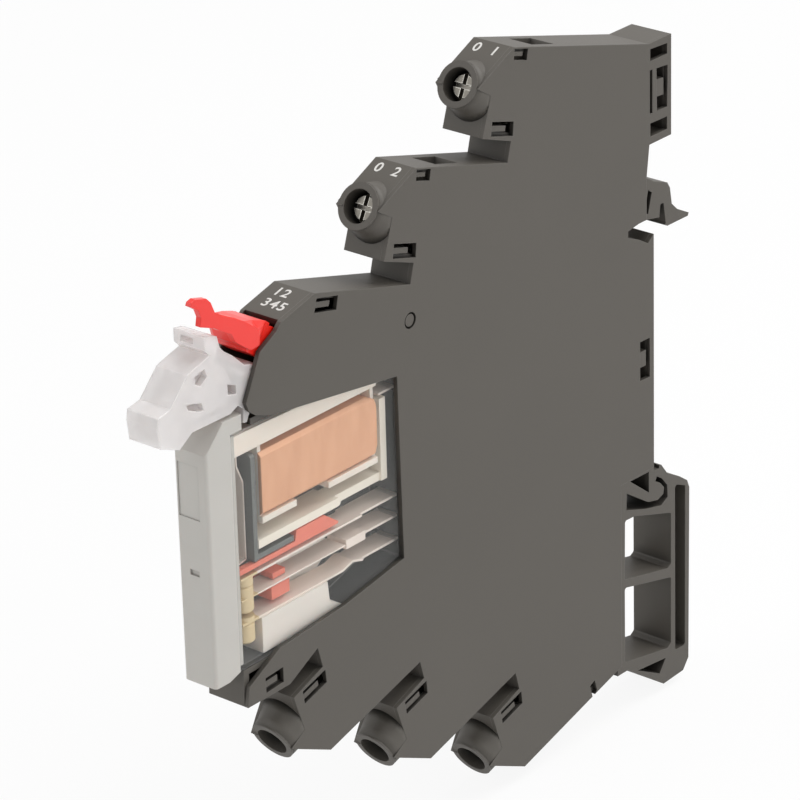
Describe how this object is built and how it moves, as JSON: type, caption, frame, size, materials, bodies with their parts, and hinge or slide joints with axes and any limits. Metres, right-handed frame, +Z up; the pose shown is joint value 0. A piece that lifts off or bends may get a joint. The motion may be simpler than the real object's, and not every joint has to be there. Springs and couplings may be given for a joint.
{
  "type": "slim relay module",
  "caption": "Slim rail-mounted relay module with screw terminals, a plug-in relay in a clear case and a retaining lever.",
  "frame": {"origin": "on the mounting rail's centreline, at the middle of the module's thickness, on the face that seats against the rail", "axes": "+X out of the broad side with the cover, +Y towards the rail, +Z up the rail's height"},
  "size_m": [0.0062, 0.0999, 0.0991],
  "materials": {
    "socket_plastic": "fine moulded texture",
    "relay_head_plastic": "satin moulded",
    "clear_case": "clear polycarbonate",
    "clear_lever": "milky translucent",
    "red_plastic": "satin moulded",
    "card_plastic": "satin moulded",
    "bone_plastic": "satin moulded",
    "copper": "enamelled copper wire",
    "magnet_iron": "plated soft iron",
    "contact_spring": "silvered spring bronze",
    "pin_steel": "drawn",
    "terminal_screw": "zinc plated",
    "clamp_steel": "zinc plated",
    "tinned_strip": "tinned",
    "board": "solder mask",
    "black_component": "moulded",
    "glazed_component": "lacquered",
    "lamp": "clear"
  },
  "bodies": {
    "socket": {"housing": "socket_plastic", "side_cover": "socket_plastic", "circuit_board": "board", "bridge_rectifier": "black_component", "smoothing_capacitor": "black_component", "resistor_1": "glazed_component", "resistor_2": "glazed_component", "varistor": "glazed_component", "indicator_led": "lamp", "lever_pin": "pin_steel", "release_pin": "pin_steel", "terminal_strip_1": "tinned_strip", "terminal_strip_2": "tinned_strip", "terminal_strip_3": "tinned_strip", "terminal_strip_4": "tinned_strip", "terminal_strip_5": "tinned_strip", "coil_clip_1": "tinned_strip", "coil_clip_2": "tinned_strip"},
    "relay": {"relay_front": "relay_head_plastic", "relay_case": "clear_case", "bobbin": "bone_plastic", "coil_winding": "copper", "core": "magnet_iron", "yoke": "magnet_iron", "hinge_spring": "contact_spring", "common_blade": "contact_spring", "closed_contact": "contact_spring", "open_contact": "contact_spring", "contact_block": "bone_plastic", "coil_pin_1": "contact_spring", "coil_pin_2": "contact_spring"},
    "retaining_lever": {"retaining_lever": "clear_lever"},
    "release_lever": {"release_lever": "red_plastic"},
    "armature": {"armature": "magnet_iron"},
    "card": {"card": "card_plastic"},
    "moving_contact": {"moving_contact": "contact_spring"},
    "screw_1": {"terminal_screw_1": "terminal_screw"},
    "cage_1": {"clamp_cage_1": "clamp_steel"},
    "screw_2": {"terminal_screw_2": "terminal_screw"},
    "cage_2": {"clamp_cage_2": "clamp_steel"},
    "screw_3": {"terminal_screw_3": "terminal_screw"},
    "cage_3": {"clamp_cage_3": "clamp_steel"},
    "screw_4": {"terminal_screw_4": "terminal_screw"},
    "cage_4": {"clamp_cage_4": "clamp_steel"},
    "screw_5": {"terminal_screw_5": "terminal_screw"},
    "cage_5": {"clamp_cage_5": "clamp_steel"}
  },
  "joints": [
    {"name": "screw_1_turn", "type": "hinge", "parent": "socket", "child": "screw_1", "pos_m": [0, -0.035, 0.0459], "axis": [0, 0.8846, -0.4664], "range_deg": [0, 1801]},
    {"name": "cage_1_lift", "type": "slide", "parent": "socket", "child": "cage_1", "axis": [0, -0.8846, 0.4664], "range_m": [0, 0.0025]},
    {"name": "screw_2_turn", "type": "hinge", "parent": "socket", "child": "screw_2", "pos_m": [0, -0.0538, 0.03635], "axis": [0, 0.8846, -0.4664], "range_deg": [0, 1801]},
    {"name": "cage_2_lift", "type": "slide", "parent": "socket", "child": "cage_2", "axis": [0, -0.8846, 0.4664], "range_m": [0, 0.0025]},
    {"name": "screw_3_turn", "type": "hinge", "parent": "socket", "child": "screw_3", "pos_m": [0, -0.0726, -0.0268], "axis": [0, 0.8846, 0.4664], "range_deg": [0, 1801]},
    {"name": "cage_3_lift", "type": "slide", "parent": "socket", "child": "cage_3", "axis": [0, -0.8846, -0.4664], "range_m": [0, 0.0025]},
    {"name": "screw_4_turn", "type": "hinge", "parent": "socket", "child": "screw_4", "pos_m": [0, -0.0538, -0.03635], "axis": [0, 0.8846, 0.4664], "range_deg": [0, 1801]},
    {"name": "cage_4_lift", "type": "slide", "parent": "socket", "child": "cage_4", "axis": [0, -0.8846, -0.4664], "range_m": [0, 0.0025]},
    {"name": "screw_5_turn", "type": "hinge", "parent": "socket", "child": "screw_5", "pos_m": [0, -0.035, -0.0459], "axis": [0, 0.8846, 0.4664], "range_deg": [0, 1801]},
    {"name": "cage_5_lift", "type": "slide", "parent": "socket", "child": "cage_5", "axis": [0, -0.8846, -0.4664], "range_m": [0, 0.0025]},
    {"name": "retaining_lever_lift", "type": "hinge", "parent": "socket", "child": "retaining_lever", "pos_m": [0, -0.0746, 0.0224], "axis": [-1, 0, 0], "range_deg": [0, 16]},
    {"name": "release_lever_lift", "type": "hinge", "parent": "socket", "child": "release_lever", "pos_m": [0, -0.0734, 0.0256], "axis": [-1, 0, 0], "range_deg": [0, 24.9]},
    {"name": "relay_unplug", "type": "slide", "parent": "socket", "child": "relay", "axis": [0, -1, 0], "range_m": [0, 0.0012]},
    {"name": "armature_pull", "type": "hinge", "parent": "relay", "child": "armature", "pos_m": [0, -0.0758, 0.0003], "axis": [-1, 0, 0], "range_deg": [0, 3.8], "stiffness_Nm_per_rad": 0.02, "springref_deg": -2.86},
    {"name": "card_drop", "type": "slide", "parent": "relay", "child": "card", "axis": [0, 0, -1], "range_m": [0, 0.000409]},
    {"name": "contact_swing", "type": "hinge", "parent": "relay", "child": "moving_contact", "pos_m": [0, -0.0602, -0.0049], "axis": [1, 0, 0], "range_deg": [0, 1.51]}
  ],
  "couplings": [
    {"joint": "screw_1_turn", "follows": "cage_1_lift", "rad_per_m": 12566},
    {"joint": "screw_2_turn", "follows": "cage_2_lift", "rad_per_m": 12566},
    {"joint": "screw_3_turn", "follows": "cage_3_lift", "rad_per_m": 12566},
    {"joint": "screw_4_turn", "follows": "cage_4_lift", "rad_per_m": 12566},
    {"joint": "screw_5_turn", "follows": "cage_5_lift", "rad_per_m": 12566},
    {"joint": "retaining_lever_lift", "follows": "relay_unplug", "rad_per_m": 232.56},
    {"joint": "release_lever_lift", "follows": "relay_unplug", "rad_per_m": 360.47},
    {"joint": "armature_pull", "follows": "card_drop", "rad_per_m": 161.8},
    {"joint": "contact_swing", "follows": "card_drop", "rad_per_m": 63.87}
  ]
}
